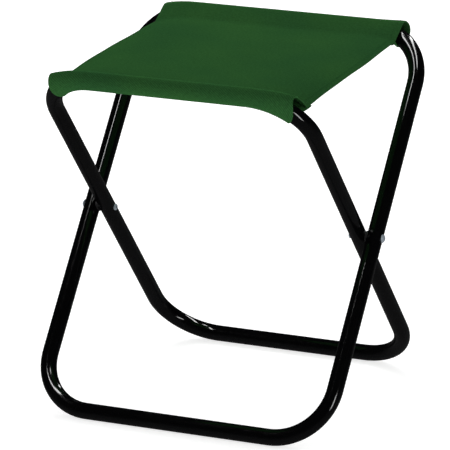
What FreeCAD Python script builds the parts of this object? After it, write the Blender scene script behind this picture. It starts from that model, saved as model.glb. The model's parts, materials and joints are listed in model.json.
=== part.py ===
import FreeCAD, Part
import math
import os

# Folding camp stool: two closed loops of round steel tube cross like an X and turn on one
# pair of rivets, and a cloth sling is sewn round their two top bars.
#
# Frame: +Z is up, X runs along the bars, -Y is the front. The origin is on the ground,
# straight below the pivot axis. Units are millimetres and degrees.

Vector = FreeCAD.Vector

# ---- driving dimensions -------------------------------------------------------------

TUBE_RADIUS = 9.5
TUBE_WALL = 1.0
BEND_RADIUS = 65.0
OUTER_HALF_WIDTH = 180.5
LEG_GAP = 0.8
LEG_TILT = 38.24
LOWER_LEG = 251.0
OUTER_UPPER_LEG = 257.0
INNER_UPPER_LEG = 251.0
TUBE_END_GAP = 0.4

SPIGOT_LENGTH = 70.0
SPIGOT_WALL = 1.2
SPIGOT_CLEARANCE = 0.05

SHANK_RADIUS = 3.0
RUNNING_CLEARANCE = 0.05
HEAD_RADIUS = 4.8
HEAD_HEIGHT = 3.0
HEAD_SHOULDER = 0.8
CLINCH_RADIUS = 3.7
CLINCH_HEIGHT = 1.7
CLINCH_ROUNDING = 0.7
CLINCH_BORE_RADIUS = 1.7
CLINCH_BORE_DEPTH = 7.0
MOVING_GAP = 0.3

SPACER_RADIUS = 7.0
SPACER_RIM = 4.0
SPACER_BORE_CLEARANCE = 0.2

CLOTH_HALF_WIDTH = 154.0
CLOTH_THICKNESS = 1.2
CLOTH_SLACK = 0.3
SEAM_REACH = 30.0
PANEL_CLEARANCE = 0.4

# ---- sizes worked out from them -----------------------------------------------------

BORE_RADIUS = TUBE_RADIUS - TUBE_WALL
INNER_HALF_WIDTH = OUTER_HALF_WIDTH - 2 * TUBE_RADIUS - LEG_GAP
TILT_SIN = math.sin(math.radians(LEG_TILT))
TILT_COS = math.cos(math.radians(LEG_TILT))
PIVOT_HEIGHT = TUBE_RADIUS + LOWER_LEG * TILT_COS
HOLE_RADIUS = SHANK_RADIUS + RUNNING_CLEARANCE
SLEEVE_INNER = TUBE_RADIUS + CLOTH_SLACK
SLEEVE_OUTER = SLEEVE_INNER + CLOTH_THICKNESS
SWEPT_RADIUS = SLEEVE_OUTER + PANEL_CLEARANCE

REAR = 1
FRONT = -1
X_AXIS = Vector(1, 0, 0)


class Frame:
    """One tube loop's plane: it tilts about the pivot, and its top bar lies on `side`."""

    def __init__(self, half_width, upper_leg, side):
        self.half_width = half_width
        self.upper_leg = upper_leg
        self.side = side
        self.along_leg = Vector(0, side * TILT_SIN, TILT_COS)
        self.straight_half = half_width - BEND_RADIUS

    def point(self, across, along):
        """A point of the loop's plane, `along` the legs from the pivot axis."""
        return Vector(across, 0, PIVOT_HEIGHT) + self.along_leg * along

    def top_bar(self):
        return self.point(0, self.upper_leg)


OUTER = Frame(OUTER_HALF_WIDTH, OUTER_UPPER_LEG, REAR)
INNER = Frame(INNER_HALF_WIDTH, INNER_UPPER_LEG, FRONT)


# ---- round sections and what is swept from them --------------------------------------


def ring(centre, direction, outer_radius, inner_radius):
    """A flat ring face, square to `direction`, or a disc if it has no inner radius."""
    disc = Part.Face(Part.Wire(Part.Circle(centre, direction, outer_radius).toShape()))
    if inner_radius == 0:
        return disc
    hole = Part.Face(Part.Wire(Part.Circle(centre, direction, inner_radius).toShape()))
    return disc.cut(hole).Faces[0]


def straight(start, end, outer_radius, inner_radius):
    return ring(start, end - start, outer_radius, inner_radius).extrude(end - start)


def bend(frame, corner_x, corner_along, turn, outer_radius, inner_radius):
    """A bend of `turn` degrees, from the end of a bar towards a leg.

    The signs of corner_x and corner_along say which of the loop's four corners it is.
    """
    right = math.copysign(1, corner_x)
    upper = math.copysign(1, corner_along)
    centre_x = corner_x - right * BEND_RADIUS
    centre = frame.point(centre_x, corner_along - upper * BEND_RADIUS)
    start = ring(frame.point(centre_x, corner_along), X_AXIS, outer_radius, inner_radius)
    plane_normal = X_AXIS.cross(frame.along_leg)
    return start.revolve(centre, plane_normal * (-right * upper), turn)


def joined(pieces):
    return pieces[0].fuse(pieces[1:]).removeSplitter()


def cylinder(start, end, radius):
    return Part.makeCylinder(radius, (end - start).Length, start, end - start)


def mirrored(shape):
    """The same piece on the other side of the stool."""
    return shape.mirror(Vector(0, 0, 0), X_AXIS)


# ---- steel tube frames ---------------------------------------------------------------


def half_frame_tube(frame):
    """The right half of a closed loop of tube.

    The tube's two ends meet at the middle of the top bar. The ground bar runs on without a
    joint: its halves touch face to face.
    """
    section = (TUBE_RADIUS, BORE_RADIUS)
    edge = frame.half_width
    leg_top = frame.upper_leg - BEND_RADIUS
    leg_bottom = BEND_RADIUS - LOWER_LEG
    pieces = [
        straight(
            frame.point(0, -LOWER_LEG),
            frame.point(frame.straight_half, -LOWER_LEG),
            *section,
        ),
        bend(frame, edge, -LOWER_LEG, 90, *section),
        straight(frame.point(edge, leg_bottom), frame.point(edge, leg_top), *section),
        bend(frame, edge, frame.upper_leg, 90, *section),
        straight(
            frame.point(frame.straight_half, frame.upper_leg),
            frame.point(TUBE_END_GAP / 2, frame.upper_leg),
            *section,
        ),
    ]
    leg = frame.point(edge, 0)
    reach = X_AXIS * (2 * TUBE_RADIUS)
    return joined(pieces).cut(cylinder(leg - reach, leg + reach, HOLE_RADIUS))


def spigot(frame):
    """The short tube inside the top bar that joins the loop's two ends."""
    half = X_AXIS * (SPIGOT_LENGTH / 2)
    outer_radius = BORE_RADIUS - SPIGOT_CLEARANCE
    top = frame.top_bar()
    return straight(top - half, top + half, outer_radius, outer_radius - SPIGOT_WALL)


# ---- pivot: a rivet and a spacer on each side -----------------------------------------


def pivot_rivet():
    """Domed head outside the outer leg, shank through both legs, clinched end inside.

    Half of its outline is drawn from the hollow in the clinched end round to the crown of
    the head, and turned about the pivot axis.
    """
    head_seat = OUTER_HALF_WIDTH + TUBE_RADIUS
    clinch_seat = INNER_HALF_WIDTH - TUBE_RADIUS - MOVING_GAP
    clinch_end = clinch_seat - CLINCH_HEIGHT
    bore_end = clinch_end + CLINCH_BORE_DEPTH
    shoulder = head_seat + HEAD_SHOULDER
    crown = head_seat + HEAD_HEIGHT

    def at(across, out):
        return Vector(across, out, PIVOT_HEIGHT)

    def lines(*points):
        return [Part.makeLine(start, end) for start, end in zip(points, points[1:])]

    dome_rise = crown - shoulder
    dome_radius = (HEAD_RADIUS**2 + dome_rise**2) / (2 * dome_rise)
    half_turn = math.asin(HEAD_RADIUS / dome_radius) / 2
    dome_side = at(
        crown - dome_radius * (1 - math.cos(half_turn)),
        dome_radius * math.sin(half_turn),
    )
    lip = CLINCH_RADIUS - CLINCH_ROUNDING
    lip_drop = CLINCH_ROUNDING * (1 - math.sin(math.pi / 4))
    lip_side = at(clinch_end + lip_drop, CLINCH_RADIUS - lip_drop)
    edges = lines(
        at(bore_end, 0),
        at(bore_end, CLINCH_BORE_RADIUS),
        at(clinch_end, CLINCH_BORE_RADIUS),
        at(clinch_end, lip),
    )
    edges.append(
        Part.Arc(
            at(clinch_end, lip), lip_side, at(clinch_end + CLINCH_ROUNDING, CLINCH_RADIUS)
        ).toShape()
    )
    edges += lines(
        at(clinch_end + CLINCH_ROUNDING, CLINCH_RADIUS),
        at(clinch_seat, CLINCH_RADIUS),
        at(clinch_seat, SHANK_RADIUS),
        at(head_seat, SHANK_RADIUS),
        at(head_seat, HEAD_RADIUS),
        at(shoulder, HEAD_RADIUS),
    )
    edges.append(Part.Arc(at(shoulder, HEAD_RADIUS), dome_side, at(crown, 0)).toShape())
    edges += lines(at(crown, 0), at(bore_end, 0))
    return Part.Face(Part.Wire(edges)).revolve(at(0, 0), X_AXIS, 360)


def pivot_spacer():
    """A plastic washer between the legs: flat inside, hollowed to the outer leg outside."""
    flat_side = INNER_HALF_WIDTH + TUBE_RADIUS + MOVING_GAP
    inside = Vector(flat_side, 0, PIVOT_HEIGHT)
    outside = inside + X_AXIS * SPACER_RIM
    disc = cylinder(inside, outside, SPACER_RADIUS)
    bore = cylinder(inside, outside, SHANK_RADIUS + SPACER_BORE_CLEARANCE)
    leg = cylinder(
        OUTER.point(OUTER_HALF_WIDTH, -2 * SPACER_RADIUS),
        OUTER.point(OUTER_HALF_WIDTH, 2 * SPACER_RADIUS),
        TUBE_RADIUS + RUNNING_CLEARANCE,
    )
    return disc.cut(bore).cut(leg)


# ---- cloth seat ----------------------------------------------------------------------


def along_top_bar(frame, round_bend, outer_radius, inner_radius):
    """The straight top bar and the first `round_bend` degrees of its two bends."""
    section = (outer_radius, inner_radius)
    left, right = (frame.point(side * frame.straight_half, frame.upper_leg) for side in (-1, 1))
    pieces = [straight(left, right, *section)]
    for corner in (-frame.half_width, frame.half_width):
        pieces.append(bend(frame, corner, frame.upper_leg, round_bend, *section))
    return joined(pieces)


def sleeve(frame):
    """The cloth round a top bar. It runs onto the bends, as far as the cloth is wide."""
    on_bend = (CLOTH_HALF_WIDTH - frame.straight_half) / (BEND_RADIUS + TUBE_RADIUS)
    return along_top_bar(frame, math.degrees(on_bend), SLEEVE_OUTER, SLEEVE_INNER)


def seat_panel(frame, other):
    """Half of the sitting panel. Two layers taper from the straight bar's cloth to a seam.

    The halves differ in length by as much as the upper legs do, so that the closed
    stool's cloth hangs halfway between its frames.
    """
    bar = frame.top_bar()
    span = other.top_bar() - bar
    length = (span.Length + frame.upper_leg - other.upper_leg) / 2
    inward = Vector(span).normalize()
    upward = X_AXIS.cross(inward) * (-frame.side)
    half_thickness = CLOTH_THICKNESS / 2
    touch_angle = math.acos(SLEEVE_OUTER / SEAM_REACH)

    def prism(half_width, corners):
        corners = [
            bar + inward * reach + upward * rise - X_AXIS * half_width for reach, rise in corners
        ]
        outline = Part.makePolygon(corners + corners[:1])
        return Part.Face(outline).extrude(X_AXIS * (2 * half_width))

    def wedge(radius, tip):
        """The taper between the bar and the seam, tangent to the cloth at `radius`."""
        reach = radius * math.cos(touch_angle)
        rise = radius * math.sin(touch_angle)
        return prism(frame.straight_half, [(reach, rise), (tip, 0), (reach, -rise)])

    far = length - PANEL_CLEARANCE / 2
    flat = prism(
        CLOTH_HALF_WIDTH,
        [
            (SEAM_REACH - CLOTH_THICKNESS, half_thickness),
            (far, half_thickness),
            (far, -half_thickness),
            (SEAM_REACH - CLOTH_THICKNESS, -half_thickness),
        ],
    )
    layers = wedge(SLEEVE_OUTER, SEAM_REACH + CLOTH_THICKNESS).cut(
        wedge(SLEEVE_INNER, SEAM_REACH - 2 * CLOTH_THICKNESS)
    )
    bar_space = along_top_bar(frame, 90, SWEPT_RADIUS, 0)
    return flat.fuse(layers).cut(bar_space).removeSplitter()


# ---- the nodes -----------------------------------------------------------------------

right_outer_tube = half_frame_tube(OUTER)
right_inner_tube = half_frame_tube(INNER)
right_rivet = pivot_rivet()
right_spacer = pivot_spacer()

NODES = {
    "outer_frame_tube_right": right_outer_tube,
    "outer_frame_tube_left": mirrored(right_outer_tube),
    "outer_frame_spigot": spigot(OUTER),
    "inner_frame_tube_right": right_inner_tube,
    "inner_frame_tube_left": mirrored(right_inner_tube),
    "inner_frame_spigot": spigot(INNER),
    "pivot_rivet_right": right_rivet,
    "pivot_rivet_left": mirrored(right_rivet),
    "pivot_spacer_right": right_spacer,
    "pivot_spacer_left": mirrored(right_spacer),
    "seat_rear_sleeve": sleeve(OUTER),
    "seat_front_sleeve": sleeve(INNER),
    "seat_rear_panel": seat_panel(OUTER, INNER),
    "seat_front_panel": seat_panel(INNER, OUTER),
}

os.makedirs("parts", exist_ok=True)
for name, shape in NODES.items():
    shape.exportStep(os.path.join("parts", name + ".step"))
    box = shape.BoundBox
    print(
        f"{name}: {len(shape.Solids)} solid, valid {shape.isValid()}, {shape.Volume:.0f} mm3,"
        f" x {box.XMin:.1f}..{box.XMax:.1f}, y {box.YMin:.1f}..{box.YMax:.1f},"
        f" z {box.ZMin:.1f}..{box.ZMax:.1f}"
    )
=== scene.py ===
import json
import math

import bpy
import numpy as np
from mathutils import Matrix, Vector


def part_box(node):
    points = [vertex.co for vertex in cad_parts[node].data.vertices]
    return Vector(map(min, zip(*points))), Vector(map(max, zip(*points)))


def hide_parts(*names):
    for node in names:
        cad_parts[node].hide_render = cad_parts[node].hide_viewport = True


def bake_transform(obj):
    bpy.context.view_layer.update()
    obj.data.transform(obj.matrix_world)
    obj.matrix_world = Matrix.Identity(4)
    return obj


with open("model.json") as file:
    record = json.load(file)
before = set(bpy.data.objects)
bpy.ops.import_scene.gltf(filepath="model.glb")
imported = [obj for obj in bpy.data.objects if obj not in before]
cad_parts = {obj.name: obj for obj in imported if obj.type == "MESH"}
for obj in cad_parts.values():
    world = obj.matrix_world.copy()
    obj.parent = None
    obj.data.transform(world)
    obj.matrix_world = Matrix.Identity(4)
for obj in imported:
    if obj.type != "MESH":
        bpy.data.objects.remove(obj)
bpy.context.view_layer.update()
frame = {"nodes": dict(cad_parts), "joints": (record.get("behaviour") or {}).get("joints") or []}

# Folding camp stool. The tube frames, rivets and spacers are the CAD nodes with finished
# materials. The cloth sling is modelled here: two halves that meet at the fold line, each
# one a sleeve round its top bar with half of the sitting panel, sewn with thread.
#
# Units are metres and degrees. Positions come from the frame: its joints and boxes.

JOINTS = {joint["name"]: joint for joint in frame["joints"]}
PIVOT = np.array(JOINTS["fold"]["pos_m"])

# ---- driving dimensions -------------------------------------------------------------

TUBE_RADIUS = 0.0095
BEND_RADIUS = 0.065

CLOTH_HALF_WIDTH = 0.154
CLOTH_THICKNESS = 0.001
SLEEVE_SLACK = 0.0002
SLEEVE_END_SLACK = 0.0010
SLEEVE_HANG = 0.0008
TANGENT_ANGLE = 70.0
SEAM_REACH = 0.030
SEAM_DROP = 0.0006
TAIL_LENGTH = 0.010
LAYER_GAP = 0.00015
PUFF_ANGLE = math.radians(65.0)
PANEL_SAG = 0.0008
PANEL_SPREAD = 0.0018
PANEL_SKEW = 0.0020
EDGE_LIFT = 0.3
RIPPLE_HEIGHT = 0.0005
# Every ripple: its share of the height, its waves along X and Y in radians a metre, its phase.
RIPPLES = ((1.0, 21.0, 34.0, 0.6), (0.7, 47.0, -19.0, 2.1), (0.5, 66.0, 73.0, 4.0))

SIDE_HEM = 0.009
SIDE_HEM_EXTRA = 0.0006
HEM_STEP = 0.0008
STITCH_GROOVE = 0.00010
STITCH_GROOVE_WIDTH = 0.0006
SIDE_STITCH_INSET = 0.007
EDGE_ROUNDING = 0.94

STITCH_PITCH = 0.0036
STITCH_LENGTH = 0.0030
THREAD_RADIUS = 0.00024
THREAD_SIDES = 6
SEAM_ROWS = (0.0012, 0.0062)
SEAM_STITCH_INSET = 0.0022
FIRST_SIDE_STITCH = 0.0004
# A stitch from end to end: its width, and how far it stands off the cloth, in thread radii.
STITCH_WIDTHS = (0.45, 0.9, 1.0, 0.9, 0.45)
STITCH_LIFTS = (-0.9, 0.25, 0.45, 0.25, -0.9)

# How the cloth's grid is divided. The insets are measured from a side edge.
EDGE_INSETS = (0.0, 0.00012, 0.00035, 0.0008, 0.002, 0.004, 0.0060, 0.0066, 0.0070, 0.0074)
EDGE_INSETS += (0.0080, 0.0090, 0.0092, 0.0095, 0.0098, 0.0120)
MIDDLE_STATIONS = 48
STRIP_STEPS = (4, 12, 26, 12, 46)
TANGENT_STEP = 0.0003

X_AXIS = np.array((1.0, 0.0, 0.0))


def unit(vector):
    return vector / np.linalg.norm(vector)


def smooth_step(t):
    t = np.clip(t, 0.0, 1.0)
    return t * t * (3.0 - 2.0 * t)


# ---- cloth shape ---------------------------------------------------------------------


class Edge:
    """Where one line of the cloth lies along a bar, and how it drops past the bar's bends.

    `left` and `right` are the line's two ends, measured along the cloth from the stool's
    middle. A share is the part of the tube's own drop that the line follows at that end.
    """

    def __init__(self, left, right, left_share, right_share):
        self.shift = (right - left) / 2
        self.half = (right + left) / 2
        self.left_share = left_share
        self.right_share = right_share

    def along_bar(self, station):
        return self.shift + station * self.half / CLOTH_HALF_WIDTH

    def share(self, station):
        return self.right_share if station > 0.0 else self.left_share


class TopBar:
    """A top bar, its two bends, and the directions that the cloth round it follows.

    A station is a distance across the flat cloth from its middle. An angle in the sleeve is
    measured from `inboard` towards `upward`. The cloth isn't quite even: near the right end
    it is `puff` further from the bar, and its crest is `short_crest` shorter.
    """

    def __init__(self, joint, other_joint, tube, sleeve, seam, puff, short_crest):
        self.centre = np.array(JOINTS[joint]["pos_m"])
        self.up_leg = unit(self.centre - PIVOT)
        self.inboard = unit(np.array(JOINTS[other_joint]["pos_m"]) - self.centre)
        upward = np.cross(X_AXIS, self.inboard)
        self.upward = upward * math.copysign(1.0, upward[2])
        self.leg_angle = math.atan2(self.up_leg @ self.upward, self.up_leg @ self.inboard)
        self.off_leg = (
            -math.sin(self.leg_angle) * self.inboard + math.cos(self.leg_angle) * self.upward
        )
        self.straight_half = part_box(tube)[1].x - TUBE_RADIUS - BEND_RADIUS
        self.sleeve = sleeve
        self.seam = seam
        self.puff = puff
        self.short_crest = short_crest

    def past_straight(self, distance):
        """The side, the length past the bar's straight part, and the tube's drop there."""
        beyond = max(abs(distance) - self.straight_half, 0.0)
        drop = BEND_RADIUS * (1.0 - math.cos(beyond / BEND_RADIUS))
        return math.copysign(1.0, distance), beyond, drop

    def stiff_centre(self, distance, share):
        """A bar's centre that drops by only a share of what the tube drops."""
        side, beyond, drop = self.past_straight(distance)
        drop *= share
        across = min(abs(distance), self.straight_half) + math.sqrt(beyond**2 - drop**2)
        return self.centre + X_AXIS * (side * across) - self.up_leg * drop

    def sleeve_point(self, station, angle):
        """The middle of the cloth's thickness, round the tube.

        The sleeve's outer side is stiff and stands off the bend. Its inner side follows it.
        """
        distance = self.sleeve.along_bar(station)
        towards_right = smooth_step(station / CLOTH_HALF_WIDTH)
        distance -= self.short_crest * towards_right * max(math.sin(angle), 0.0) ** 2
        side, beyond, drop = self.past_straight(distance)
        turn = beyond / BEND_RADIUS
        across = min(abs(distance), self.straight_half) + BEND_RADIUS * math.sin(turn)
        centre = self.centre + X_AXIS * (side * across) - self.up_leg * drop
        outward = self.up_leg * math.cos(turn) + X_AXIS * (side * math.sin(turn))
        around = angle - self.leg_angle
        end = smooth_step(beyond / (CLOTH_HALF_WIDTH - self.straight_half))
        puff = self.puff * end * towards_right
        below = (1.0 - math.sin(angle)) / 2.0
        radius = TUBE_RADIUS + CLOTH_THICKNESS / 2 + SLEEVE_SLACK
        radius += SLEEVE_END_SLACK * end + SLEEVE_HANG * below * (1.0 - end)
        radius += puff * max(math.cos(angle - PUFF_ANGLE), 0.0) ** 2
        bent = centre + radius * (math.cos(around) * outward + math.sin(around) * self.off_leg)
        stiff = self.stiff_centre(distance, self.sleeve.share(station))
        stiff = stiff + radius * (math.cos(angle) * self.inboard + math.sin(angle) * self.upward)
        stands_off = ((1.0 + math.cos(around)) / 2.0) ** 2
        return bent + (stiff - bent) * stands_off

    def upper_layer(self, station, part):
        """From the sleeve's upper tangent to the seam. It puffs up near the right end."""
        start = self.sleeve_point(station, math.radians(TANGENT_ANGLE))
        _, beyond, _ = self.past_straight(self.seam.along_bar(station))
        end = smooth_step(beyond / (CLOTH_HALF_WIDTH - self.straight_half))
        puff = self.puff * end * smooth_step(station / CLOTH_HALF_WIDTH)
        lift = self.upward * (puff * 2.0 * part * (1.0 - part))
        return start + (self.seam_point(station) - start) * part + lift

    def seam_point(self, station):
        """Where the sleeve's two layers meet and are sewn."""
        distance = self.seam.along_bar(station)
        centre = self.stiff_centre(distance, self.seam.share(station))
        return centre + self.inboard * SEAM_REACH - self.upward * SEAM_DROP


REAR_BAR = TopBar(
    "seat_rear_fold",
    "seat_front_fold",
    "outer_frame_tube_right",
    sleeve=Edge(0.1575, 0.1540, 0.38, 0.0),
    seam=Edge(0.1556, 0.1537, 0.76, 0.38),
    puff=0.0008,
    short_crest=0.004,
)
FRONT_BAR = TopBar(
    "seat_front_fold",
    "seat_rear_fold",
    "inner_frame_tube_right",
    sleeve=Edge(0.1484, 0.1555, 0.49, 0.33),
    seam=Edge(0.1523, 0.1552, 0.60, 0.90),
    puff=0.0026,
    short_crest=0.0,
)
REAR_LEVEL = REAR_BAR.seam_point(0.0)[2]
FRONT_LEVEL = FRONT_BAR.seam_point(0.0)[2]
FOLD_Y = (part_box("seat_rear_panel")[0].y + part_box("seat_front_panel")[1].y) / 2


def panel_point(station, share):
    """The sitting panel, from the rear seam, share 0, to the front seam, share 1.

    Its side edges rise between the bars, so that they fold up with the middle.
    """
    rear = REAR_BAR.seam_point(station)
    front = FRONT_BAR.seam_point(station)
    point = rear + (front - rear) * share
    middle = 4.0 * share * (1.0 - share)
    edge = station / CLOTH_HALF_WIDTH
    point[0] += (PANEL_SPREAD * edge * abs(edge) + PANEL_SKEW) * middle
    level = REAR_LEVEL + (FRONT_LEVEL - REAR_LEVEL) * share
    point[2] += EDGE_LIFT * middle * (level - point[2])
    ripple = sum(
        height * math.sin(wave_x * point[0] + wave_y * point[1] + phase)
        for height, wave_x, wave_y, phase in RIPPLES
    )
    point[2] += RIPPLE_HEIGHT * ripple * middle - PANEL_SAG * middle * (1.0 - edge**2)
    return point


def fold_share(station):
    """The share of the panel at which it crosses the fold line."""
    rear = REAR_BAR.seam_point(station)[1]
    front = FRONT_BAR.seam_point(station)[1]
    return (rear - FOLD_Y) / (rear - front)


class HalfCloth:
    """A sleeve and half a panel as one strip, measured along its middle from its sewn end."""

    TAIL = TAIL_LENGTH
    LAYER = SEAM_REACH * math.sin(math.radians(TANGENT_ANGLE))
    LOOP = (TUBE_RADIUS + CLOTH_THICKNESS) * math.radians(360.0 - 2.0 * TANGENT_ANGLE)

    def __init__(self, bar, is_rear):
        self.bar = bar
        self.is_rear = is_rear
        reach = abs(bar.centre[1] - FOLD_Y)
        self.panel = reach - SEAM_REACH
        self.marks = np.cumsum([0.0, self.TAIL, self.LAYER, self.LOOP, self.LAYER, self.panel])
        self.length = self.marks[-1]

    def panel_part(self, station, part):
        """The panel at a part of the way from this half's seam to the fold line."""
        fold = fold_share(station)
        share = fold * part if self.is_rear else 1.0 - (1.0 - fold) * part
        return panel_point(station, share)

    def middle(self, station, along):
        """A point of the middle surface, `along` the strip at a station."""
        tail_end, lower_end, loop_end, upper_end, fold = self.marks[1:]
        tangent = math.radians(TANGENT_ANGLE)
        under = self.bar.upward * (CLOTH_THICKNESS + LAYER_GAP + 2.0 * hem_extra(station))
        if along < tail_end:
            part = (tail_end - along) / self.panel
            return self.panel_part(station, part) - under
        if along < lower_end:
            part = (along - tail_end) / self.LAYER
            start = self.bar.seam_point(station) - under
            return start + (self.bar.sleeve_point(station, -tangent) - start) * part
        if along < loop_end:
            part = (along - lower_end) / self.LOOP
            turned = part * (2.0 * math.pi - 2.0 * tangent)
            return self.bar.sleeve_point(station, -tangent - turned)
        if along < upper_end:
            return self.bar.upper_layer(station, (along - loop_end) / self.LAYER)
        return self.panel_part(station, (along - upper_end) / self.panel)


def hem_extra(station):
    """The second layer of the side hem, folded to the cloth's inner face."""
    inset = CLOTH_HALF_WIDTH - abs(station)
    return SIDE_HEM_EXTRA * smooth_step((SIDE_HEM + HEM_STEP - inset) / HEM_STEP)


def station_list():
    """Stations across the cloth: close together at the edge, the hem and its stitches."""
    inner = CLOTH_HALF_WIDTH - EDGE_INSETS[-1]
    middle = [inner * (2.0 * i / MIDDLE_STATIONS - 1.0) for i in range(1, MIDDLE_STATIONS)]
    left = [inset - CLOTH_HALF_WIDTH for inset in EDGE_INSETS]
    return np.array(left + middle + [-station for station in reversed(left)])


def along_list(half):
    """Distances along the strip: even steps between the marks, the marks included."""
    values = [0.0]
    for start, end, count in zip(half.marks, half.marks[1:], STRIP_STEPS):
        values += [start + (end - start) * (i + 1) / count for i in range(count)]
    return np.array(values)


def grid_normals(points, sense):
    """Unit normals of a grid of points. The sense, 1 or -1, turns them outward."""
    across = np.gradient(points, axis=0)
    along = np.gradient(points, axis=1)
    normals = np.cross(across, along) * sense
    return normals / np.linalg.norm(normals, axis=2, keepdims=True)


def edge_scale(station):
    """Rounds the cloth's folded side edge: the share of the thickness that is left."""
    inset = CLOTH_HALF_WIDTH - abs(station)
    rounding = (CLOTH_THICKNESS + SIDE_HEM_EXTRA) / 2
    return math.sqrt(1.0 - EDGE_ROUNDING * (1.0 - min(inset / rounding, 1.0)) ** 2)


def new_object(name, vertices, faces):
    """A mesh object in the scene, at the origin."""
    mesh = bpy.data.meshes.new(name)
    mesh.from_pydata([tuple(vertex) for vertex in vertices], [], faces)
    mesh.validate()
    obj = bpy.data.objects.new(name, mesh)
    bpy.context.scene.collection.objects.link(obj)
    return obj


def build_cloth(name, half):
    """A closed solid: the grid's outer and inner faces, joined round the rim."""
    stations = station_list()
    alongs = along_list(half)
    # A little past the last row, so that both halves have the same normal at the fold line.
    ghost = 2.0 * alongs[-1] - alongs[-2]
    columns = np.append(alongs, ghost)
    points = np.array([[half.middle(s, a) for a in columns] for s in stations])
    normals = grid_normals(points, -1.0 if half.is_rear else 1.0)
    points = points[:, :-1]
    normals = normals[:, :-1]
    scale = np.array([edge_scale(s) for s in stations])[:, None, None]
    extra = np.array([hem_extra(s) for s in stations])[:, None, None]
    inset = CLOTH_HALF_WIDTH - np.abs(stations)
    from_row = (inset - SIDE_STITCH_INSET) / STITCH_GROOVE_WIDTH
    groove = (STITCH_GROOVE * np.exp(-(from_row**2)))[:, None, None]
    outer = points + normals * ((CLOTH_THICKNESS / 2 - groove) * scale)
    inner = points - normals * ((CLOTH_THICKNESS / 2 + extra) * scale)
    rows, cols = len(stations), len(alongs)
    vertices = np.concatenate([outer.reshape(-1, 3), inner.reshape(-1, 3)])

    def quad(a, b, c, d):
        return (d, c, b, a) if half.is_rear else (a, b, c, d)

    def index(layer, row, col):
        return (layer * rows + row) * cols + col

    faces = []
    for row in range(rows - 1):
        for col in range(cols - 1):
            corners = [(row, col), (row + 1, col), (row + 1, col + 1), (row, col + 1)]
            faces.append(quad(*[index(0, *corner) for corner in corners]))
            faces.append(quad(*[index(1, *corner) for corner in reversed(corners)]))
    rim = [(row, 0) for row in range(rows - 1)]
    rim += [(rows - 1, col) for col in range(cols - 1)]
    rim += [(row, cols - 1) for row in range(rows - 1, 0, -1)]
    rim += [(0, col) for col in range(cols - 1, 0, -1)]
    for start, end in zip(rim, rim[1:] + rim[:1]):
        faces.append(quad(index(0, *end), index(0, *start), index(1, *start), index(1, *end)))
    obj = new_object(name, vertices, faces)
    mesh = obj.data
    mesh.shade_smooth()
    end_columns = {0, cols - 1}
    for edge in mesh.edges:
        first, second = (divmod(v, cols) for v in edge.vertices)
        if first[1] == second[1] and first[1] in end_columns:
            edge.use_edge_sharp = True
    flat = mesh.uv_layers.new(name="flat")
    for loop in mesh.loops:
        row, col = divmod(loop.vertex_index % (rows * cols), cols)
        flat.data[loop.index].uv = (stations[row], alongs[col])
    return obj


# ---- sewing thread -------------------------------------------------------------------


def surface_frame(half, station, along, side):
    """A point of the cloth's outer face, side 1, or inner face, side -1, and its normal."""
    step = TANGENT_STEP
    middle = half.middle(station, along)
    across = unit(half.middle(station + step, along) - half.middle(station - step, along))
    forward = unit(half.middle(station, along + step) - half.middle(station, along - step))
    normal = unit(np.cross(across, forward)) * (-1.0 if half.is_rear else 1.0)
    lift = CLOTH_THICKNESS / 2 if side > 0 else -(CLOTH_THICKNESS / 2 + hem_extra(station))
    return middle + normal * lift, normal * side


def stitch_rings(points, normals):
    """One stitch: a thread that rises from the cloth and goes back into it."""
    direction = unit(points[-1] - points[0])
    rings = []
    for point, normal, width, lift in zip(points, normals, STITCH_WIDTHS, STITCH_LIFTS):
        sideways = np.cross(direction, normal)
        centre = point + normal * (THREAD_RADIUS * lift)
        ring = []
        for i in range(THREAD_SIDES):
            turn = 2.0 * math.pi * i / THREAD_SIDES
            outward = sideways * math.cos(turn) + normal * math.sin(turn)
            ring.append(centre + outward * (THREAD_RADIUS * width))
        rings.append(ring)
    return rings


def build_stitches(name, half, rows):
    """Every row is a list of (station, along, side) at the two ends of each stitch."""
    vertices, faces = [], []
    for row in rows:
        for (s0, a0, side), (s1, a1, _) in row:
            parts = np.linspace(0.0, 1.0, len(STITCH_WIDTHS))
            frames = [
                surface_frame(half, s0 + (s1 - s0) * t, a0 + (a1 - a0) * t, side) for t in parts
            ]
            rings = stitch_rings([f[0] for f in frames], [f[1] for f in frames])
            base = len(vertices)
            count = len(rings[0])
            for ring in rings:
                vertices += ring
            for r in range(len(rings) - 1):
                for i in range(count):
                    j = (i + 1) % count
                    low, high = base + r * count, base + (r + 1) * count
                    faces.append((low + i, low + j, high + j, high + i))
            faces.append(tuple(base + i for i in reversed(range(count))))
            faces.append(tuple(base + (len(rings) - 1) * count + i for i in range(count)))
    obj = new_object(name, vertices, faces)
    obj.data.shade_smooth()
    return obj


def stitch_rows(half):
    """Two rows along the seam, above and below, and one along each side hem, on both faces."""

    def stitch_ends(start, count):
        starts = [start + i * STITCH_PITCH for i in range(count)]
        return [(first, first + STITCH_LENGTH) for first in starts]

    rows = []
    count = int(2.0 * (CLOTH_HALF_WIDTH - SEAM_STITCH_INSET) / STITCH_PITCH)
    start = -count * STITCH_PITCH / 2 + (STITCH_PITCH - STITCH_LENGTH) / 2
    upper_seam = half.marks[4]
    for offset in SEAM_ROWS:
        for along in (upper_seam + offset, half.TAIL - offset):
            ends = stitch_ends(start, count)
            rows.append([((s0, along, 1.0), (s1, along, 1.0)) for s0, s1 in ends])
    hem = CLOTH_HALF_WIDTH - SIDE_STITCH_INSET
    for station in (-hem, hem):
        for side in (1.0, -1.0):
            ends = stitch_ends(FIRST_SIDE_STITCH, int(half.length / STITCH_PITCH))
            rows.append([((station, a0, side), (station, a1, side)) for a0, a1 in ends])
    return rows


# ---- materials -----------------------------------------------------------------------


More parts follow.
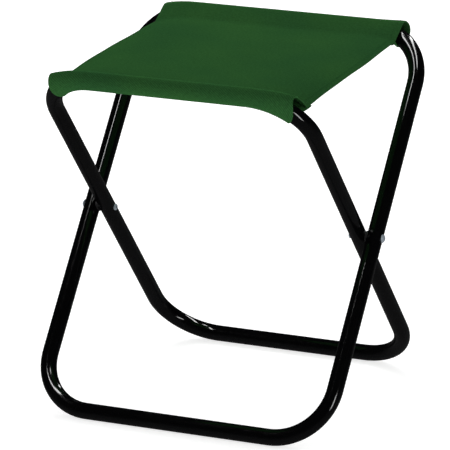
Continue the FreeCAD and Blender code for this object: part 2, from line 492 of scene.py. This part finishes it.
class Nodes:
    """A material's node tree, with short calls for the nodes that these finishes use."""

    def __init__(self, name):
        self.material = bpy.data.materials.new(name)
        self.material.use_nodes = True
        self.tree = self.material.node_tree
        self.shader = self.tree.nodes["Principled BSDF"]

    def link(self, source, target):
        self.tree.links.new(source, target)

    def add(self, kind, **settings):
        node = self.tree.nodes.new(kind)
        for key, value in settings.items():
            setattr(node, key, value)
        return node

    def value(self, node, name, value):
        socket = node.inputs[name]
        if isinstance(value, bpy.types.NodeSocket):
            self.link(value, socket)
        else:
            socket.default_value = value

    def math(self, operation, first, second=0.0):
        node = self.add("ShaderNodeMath", operation=operation)
        self.value(node, 0, first)
        self.value(node, 1, second)
        return node.outputs[0]

    def map(self, source, low, high, to_low, to_high):
        node = self.add("ShaderNodeMapRange")
        self.value(node, "Value", source)
        limits = {"From Min": low, "From Max": high, "To Min": to_low, "To Max": to_high}
        for key, value in limits.items():
            node.inputs[key].default_value = value
        return node.outputs[0]

    def mix(self, share, first, second):
        node = self.add("ShaderNodeMix", data_type="RGBA")
        self.value(node, 0, share)
        self.value(node, 6, first)
        self.value(node, 7, second)
        return node.outputs[2]

    def noise(self, vector, scale, detail=2.0):
        node = self.add("ShaderNodeTexNoise")
        self.link(vector, node.inputs["Vector"])
        node.inputs["Scale"].default_value = scale
        node.inputs["Detail"].default_value = detail
        return node.outputs["Fac"]

    def bump(self, height, strength, distance):
        node = self.add("ShaderNodeBump")
        node.inputs["Strength"].default_value = strength
        node.inputs["Distance"].default_value = distance
        self.link(height, node.inputs["Height"])
        return node.outputs["Normal"]

    def place(self):
        return self.add("ShaderNodeTexCoord").outputs["Object"]


def enamel_material():
    """Gloss black stove enamel: faint orange peel, and duller where the bars meet the ground."""
    n = Nodes("gloss_black_enamel")
    place = n.place()
    cloudy = n.noise(place, 60.0, 3.0)
    separate = n.add("ShaderNodeSeparateXYZ")
    n.link(place, separate.inputs[0])
    near_ground = n.map(separate.outputs["Z"], 0.0045, 0.0005, 0.0, 1.0)
    scuffs = n.map(n.noise(place, 900.0, 4.0), 0.50, 0.62, 0.0, 1.0)
    worn = n.math("MULTIPLY", near_ground, scuffs)
    n.link(
        n.mix(worn, (0.0014, 0.0014, 0.0017, 1.0), (0.022, 0.022, 0.023, 1.0)),
        n.shader.inputs["Base Color"],
    )
    rough = n.map(cloudy, 0.35, 0.65, 0.075, 0.115)
    n.link(n.math("ADD", rough, n.math("MULTIPLY", worn, 0.4)), n.shader.inputs["Roughness"])
    n.link(n.bump(n.noise(place, 420.0), 0.05, 0.0004), n.shader.inputs["Normal"])
    n.shader.inputs["IOR"].default_value = 1.5
    return n.material


def zinc_material():
    """Bright zinc on a rivet: faint bluish steel with fine brushing and small stains."""
    n = Nodes("bright_zinc_rivet")
    place = n.place()
    stains = n.noise(place, 700.0, 4.0)
    n.link(
        n.mix(n.map(stains, 0.35, 0.7, 0.0, 1.0), (0.46, 0.53, 0.59, 1.0), (0.30, 0.35, 0.40, 1.0)),
        n.shader.inputs["Base Color"],
    )
    n.shader.inputs["Metallic"].default_value = 0.4
    n.link(n.map(stains, 0.3, 0.7, 0.30, 0.46), n.shader.inputs["Roughness"])
    n.link(n.bump(n.noise(place, 2600.0, 3.0), 0.15, 0.0001), n.shader.inputs["Normal"])
    return n.material


def plastic_material():
    """Matt black nylon of the spacers, with the grain of its mould."""
    n = Nodes("matt_black_nylon")
    place = n.place()
    grain = n.noise(place, 1800.0, 3.0)
    n.link(
        n.mix(grain, (0.008, 0.008, 0.009, 1.0), (0.016, 0.016, 0.017, 1.0)),
        n.shader.inputs["Base Color"],
    )
    n.link(n.map(grain, 0.3, 0.7, 0.5, 0.62), n.shader.inputs["Roughness"])
    n.link(n.bump(grain, 0.25, 0.0001), n.shader.inputs["Normal"])
    return n.material


def steel_material():
    """Drawn steel of the joiners inside the top bars, with marks along the tube."""
    n = Nodes("drawn_steel")
    place = n.place()
    stretch = n.add("ShaderNodeMapping")
    stretch.inputs["Scale"].default_value = (20.0, 900.0, 900.0)
    n.link(place, stretch.inputs["Vector"])
    marks = n.noise(stretch.outputs[0], 1.0, 3.0)
    n.link(
        n.mix(marks, (0.32, 0.32, 0.33, 1.0), (0.46, 0.46, 0.47, 1.0)),
        n.shader.inputs["Base Color"],
    )
    n.shader.inputs["Metallic"].default_value = 1.0
    n.link(n.map(marks, 0.3, 0.7, 0.3, 0.45), n.shader.inputs["Roughness"])
    return n.material


TWILL_PITCH = 0.0020
TWILL_ANGLE = 34.0
TWILL_WANDER = 0.0011
YARN_PITCH = 0.0009
# A painted highlight: the cloth's colour is made lighter in a narrow band along each sleeve's
# crest, where light catches it.
CREST_HIGHLIGHT_CORE = 0.0010
CREST_HIGHLIGHT_END = 0.0030
CREST_HIGHLIGHT_BRIGHTNESS = 1.28
# The loop runs from the lower tangent, under and round the bar, to the upper one.
CREST_SHARE = (360.0 - TANGENT_ANGLE - 90.0) / (360.0 - 2.0 * TANGENT_ANGLE)
CREST_ALONG = HalfCloth.TAIL + HalfCloth.LAYER + HalfCloth.LOOP * CREST_SHARE


def cloth_material():
    """Green twill: diagonal ribs, yarns across them, uneven dye and a painted highlight on the
    crest.
    """
    n = Nodes("green_twill")
    flat = n.add("ShaderNodeUVMap", uv_map="flat").outputs[0]
    separate = n.add("ShaderNodeSeparateXYZ")
    n.link(flat, separate.inputs[0])
    across, along = separate.outputs["X"], separate.outputs["Y"]
    wander = n.map(n.noise(flat, 160.0, 3.0), 0.0, 1.0, -TWILL_WANDER, TWILL_WANDER)
    tilt = math.radians(TWILL_ANGLE)
    slant = n.math(
        "ADD",
        n.math("MULTIPLY", across, math.sin(tilt) * 2.0 * math.pi / TWILL_PITCH),
        n.math("MULTIPLY", along, math.cos(tilt) * 2.0 * math.pi / TWILL_PITCH),
    )
    slant = n.math("ADD", slant, n.math("MULTIPLY", wander, 2.0 * math.pi / TWILL_PITCH))
    ribs = n.map(n.math("SINE", slant), -1.0, 1.0, 0.0, 1.0)
    warp = n.math("SINE", n.math("MULTIPLY", across, 2.0 * math.pi / YARN_PITCH))
    weft = n.math("SINE", n.math("MULTIPLY", along, 2.0 * math.pi / YARN_PITCH))
    yarns = n.map(n.math("MULTIPLY", warp, weft), -1.0, 1.0, 0.0, 1.0)
    fluff = n.noise(flat, 2400.0, 3.0)
    weave = n.math("ADD", n.math("MULTIPLY", ribs, 0.62), n.math("MULTIPLY", yarns, 0.2))
    weave = n.math("ADD", weave, n.math("MULTIPLY", fluff, 0.3))

    patches = n.map(n.noise(n.place(), 9.0, 3.0), 0.35, 0.65, 0.0, 1.0)
    dark = n.mix(patches, (0.0165, 0.0660, 0.0190, 1.0), (0.0205, 0.0790, 0.0200, 1.0))
    light = n.mix(patches, (0.0260, 0.0990, 0.0300, 1.0), (0.0330, 0.1170, 0.0310, 1.0))
    colour = n.mix(n.map(weave, 0.3, 0.8, 0.0, 1.0), dark, light)
    mottle = n.map(n.noise(flat, 380.0, 2.0), 0.3, 0.7, 0.86, 1.14)
    from_crest = n.math("ABSOLUTE", n.math("SUBTRACT", along, CREST_ALONG))
    # Painted highlight: the colour is brightened along the crest, most at its core and fading to
    # nothing at its end.
    crest_highlight = n.map(from_crest, CREST_HIGHLIGHT_CORE, CREST_HIGHLIGHT_END, CREST_HIGHLIGHT_BRIGHTNESS, 1.0)
    brightness = n.math("MULTIPLY", mottle, crest_highlight)
    scaled = n.add("ShaderNodeVectorMath", operation="SCALE")
    n.link(colour, scaled.inputs[0])
    n.link(brightness, scaled.inputs["Scale"])
    n.link(scaled.outputs[0], n.shader.inputs["Base Color"])
    n.link(n.map(weave, 0.2, 0.9, 0.92, 0.80), n.shader.inputs["Roughness"])
    n.link(n.bump(weave, 0.35, 0.00025), n.shader.inputs["Normal"])
    n.shader.inputs["Specular IOR Level"].default_value = 0.0
    return n.material


def thread_material():
    """Sewing thread, a shade lighter than the cloth, with the twist of its plies."""
    n = Nodes("green_thread")
    place = n.place()
    twist = n.noise(place, 3200.0, 2.0)
    n.link(
        n.mix(twist, (0.022, 0.085, 0.026, 1.0), (0.036, 0.120, 0.040, 1.0)),
        n.shader.inputs["Base Color"],
    )
    n.link(n.map(twist, 0.3, 0.7, 0.55, 0.75), n.shader.inputs["Roughness"])
    n.link(n.bump(twist, 0.3, 0.0001), n.shader.inputs["Normal"])
    n.shader.inputs["Specular IOR Level"].default_value = 0.0
    return n.material


def dress(obj, material):
    """Gives the object one material, in every slot that it has."""
    if not obj.data.materials:
        obj.data.materials.append(material)
    for place in obj.material_slots:
        place.material = material


# ---- put together --------------------------------------------------------------------

enamel, zinc = enamel_material(), zinc_material()
nylon, steel = plastic_material(), steel_material()
for node, material in (
    ("outer_frame_tube_right", enamel),
    ("outer_frame_tube_left", enamel),
    ("inner_frame_tube_right", enamel),
    ("inner_frame_tube_left", enamel),
    ("outer_frame_spigot", steel),
    ("inner_frame_spigot", steel),
    ("pivot_rivet_right", zinc),
    ("pivot_rivet_left", zinc),
    ("pivot_spacer_right", nylon),
    ("pivot_spacer_left", nylon),
):
    dress(frame["nodes"][node], material)

cloth_look, thread_look = cloth_material(), thread_material()

for label, bar, frame_body, seat_body in (
    ("rear", REAR_BAR, "outer_frame", "seat_rear"),
    ("front", FRONT_BAR, "inner_frame", "seat_front"),
):
    half = HalfCloth(bar, label == "rear")
    cloth = build_cloth(f"seat_{label}_cloth", half)
    stitches = build_stitches(f"seat_{label}_stitching", half, stitch_rows(half))
    dress(cloth, cloth_look)
    dress(stitches, thread_look)
    for piece in (cloth, stitches):
        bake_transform(piece)
    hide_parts(f"seat_{label}_sleeve", f"seat_{label}_panel")

# ---- floor, light and camera ---------------------------------------------------------

VIEW_AZIMUTH = 26.056
VIEW_ELEVATION = 16.986
VIEW_ROLL = 1.3245
VIEW_DISTANCE = 4.6923
VIEW_TARGET = Vector((0.0, -0.01731, 0.20638))
VIEW_LENS = 326.25
SENSOR_WIDTH = 36.0

FLOOR_HALF = 12.0
WORLD_FILL = 0.5
WORLD_ROOM_GLOSS = 0.005
WORLD_GROUND_GLOSS = 0.06
FLOOR_SHADE = (0.6, 0.6, 0.6, 1.0)
FLOOR_GLOW = 0.75
WHITE = (1.0, 1.0, 1.0, 1.0)


def build_floor():
    """A pale floor that glows, so that only faint shadows show on it."""
    signs = ((-1, -1), (1, -1), (1, 1), (-1, 1))
    corners = [(FLOOR_HALF * x, FLOOR_HALF * y, 0.0) for x, y in signs]
    floor = new_object("studio_floor", corners, [(0, 1, 2, 3)])
    n = Nodes("pale_floor")
    n.shader.inputs["Base Color"].default_value = FLOOR_SHADE
    n.shader.inputs["Roughness"].default_value = 0.9
    n.shader.inputs["Specular IOR Level"].default_value = 0.0
    n.shader.inputs["Emission Color"].default_value = WHITE
    n.shader.inputs["Emission Strength"].default_value = FLOOR_GLOW
    dress(floor, n.material)
    floor.visible_glossy = False


def background(tree, brightness):
    node = tree.nodes.new("ShaderNodeBackground")
    node.inputs["Color"].default_value = WHITE
    node.inputs["Strength"].default_value = brightness
    return node.outputs[0]


def build_world():
    """Pale all round for the camera and the cloth, and dim in what the gloss reflects."""
    world = bpy.data.worlds.new("studio")
    bpy.context.scene.world = world
    world.use_nodes = True
    tree = world.node_tree
    tree.nodes.clear()
    output = tree.nodes.new("ShaderNodeOutputWorld")

    def mix(share, first, second):
        node = tree.nodes.new("ShaderNodeMixShader")
        tree.links.new(share, node.inputs[0])
        tree.links.new(first, node.inputs[1])
        tree.links.new(second, node.inputs[2])
        return node.outputs[0]

    path = tree.nodes.new("ShaderNodeLightPath")
    direction = tree.nodes.new("ShaderNodeTexCoord").outputs["Generated"]
    height = tree.nodes.new("ShaderNodeSeparateXYZ")
    tree.links.new(direction, height.inputs[0])
    below = tree.nodes.new("ShaderNodeMapRange")
    below.inputs["From Min"].default_value = 0.1
    below.inputs["From Max"].default_value = -0.4
    tree.links.new(height.outputs["Z"], below.inputs["Value"])
    room = background(tree, WORLD_ROOM_GLOSS)
    ground = background(tree, WORLD_GROUND_GLOSS)
    reflected = mix(below.outputs[0], room, ground)
    lit = mix(path.outputs["Is Glossy Ray"], background(tree, WORLD_FILL), reflected)
    seen = mix(path.outputs["Is Camera Ray"], lit, background(tree, 1.0))
    tree.links.new(seen, output.inputs["Surface"])


def soft_box(name, place, size, radiance, reflected, turn):
    """A rectangular light, which is either reflected in the gloss or lights the cloth.

    It faces the stool, or straight down where it has a turn about the vertical.
    """
    light = bpy.data.lights.new(name, "AREA")
    light.shape = "RECTANGLE"
    light.size, light.size_y = size
    light.energy = radiance * math.pi * size[0] * size[1]
    lamp = bpy.data.objects.new(name, light)
    bpy.context.scene.collection.objects.link(lamp)
    lamp.location = place
    if turn is None:
        away = Vector(place) - Vector((0.0, 0.0, PIVOT[2]))
        lamp.rotation_euler = away.to_track_quat("Z", "Y").to_euler()
    else:
        lamp.rotation_euler = (0.0, 0.0, math.radians(turn))
    lamp.visible_camera = False
    lamp.visible_glossy = reflected
    lamp.visible_diffuse = not reflected


def build_camera():
    """The photograph's view: azimuth from the front towards +X, elevation, and a slight roll."""
    data = bpy.data.cameras.new("camera")
    data.lens = VIEW_LENS
    data.sensor_width = SENSOR_WIDTH
    data.clip_end = 50.0
    camera = bpy.data.objects.new("camera", data)
    bpy.context.scene.collection.objects.link(camera)
    turn, rise, roll = (math.radians(a) for a in (VIEW_AZIMUTH, VIEW_ELEVATION, VIEW_ROLL))
    level = Vector((-math.sin(turn), math.cos(turn), 0.0))
    look = level * math.cos(rise) - Vector((0.0, 0.0, math.sin(rise)))
    right = Vector((math.cos(turn), math.sin(turn), 0.0))
    down = look.cross(right)
    level_x = right * math.cos(roll) + down * math.sin(roll)
    level_y = right * math.sin(roll) - down * math.cos(roll)
    axes = Matrix((level_x, level_y, -look)).transposed()
    camera.matrix_world = Matrix.Translation(VIEW_TARGET - look * VIEW_DISTANCE) @ axes.to_4x4()
    bpy.context.scene.camera = camera


build_floor()
build_world()
for name, place, size, radiance, reflected, turn in (
    ("key", (-0.9, 1.4, 1.8), (1.5, 1.5), 3.55, False, None),
    ("overhead_strip", (-0.39, -0.39, 2.5), (0.26, 2.4), 17.0, True, -20.0),
    ("right_strip", (0.75, 1.8, 2.5), (0.3, 4.8), 16.0, True, 2.0),
    ("right_panel", (2.1, -0.8, 0.5), (0.3, 0.95), 10.0, True, None),
):
    soft_box(name, place, size, radiance, reflected, turn)
build_camera()
bpy.context.scene.view_settings.view_transform = "Standard"
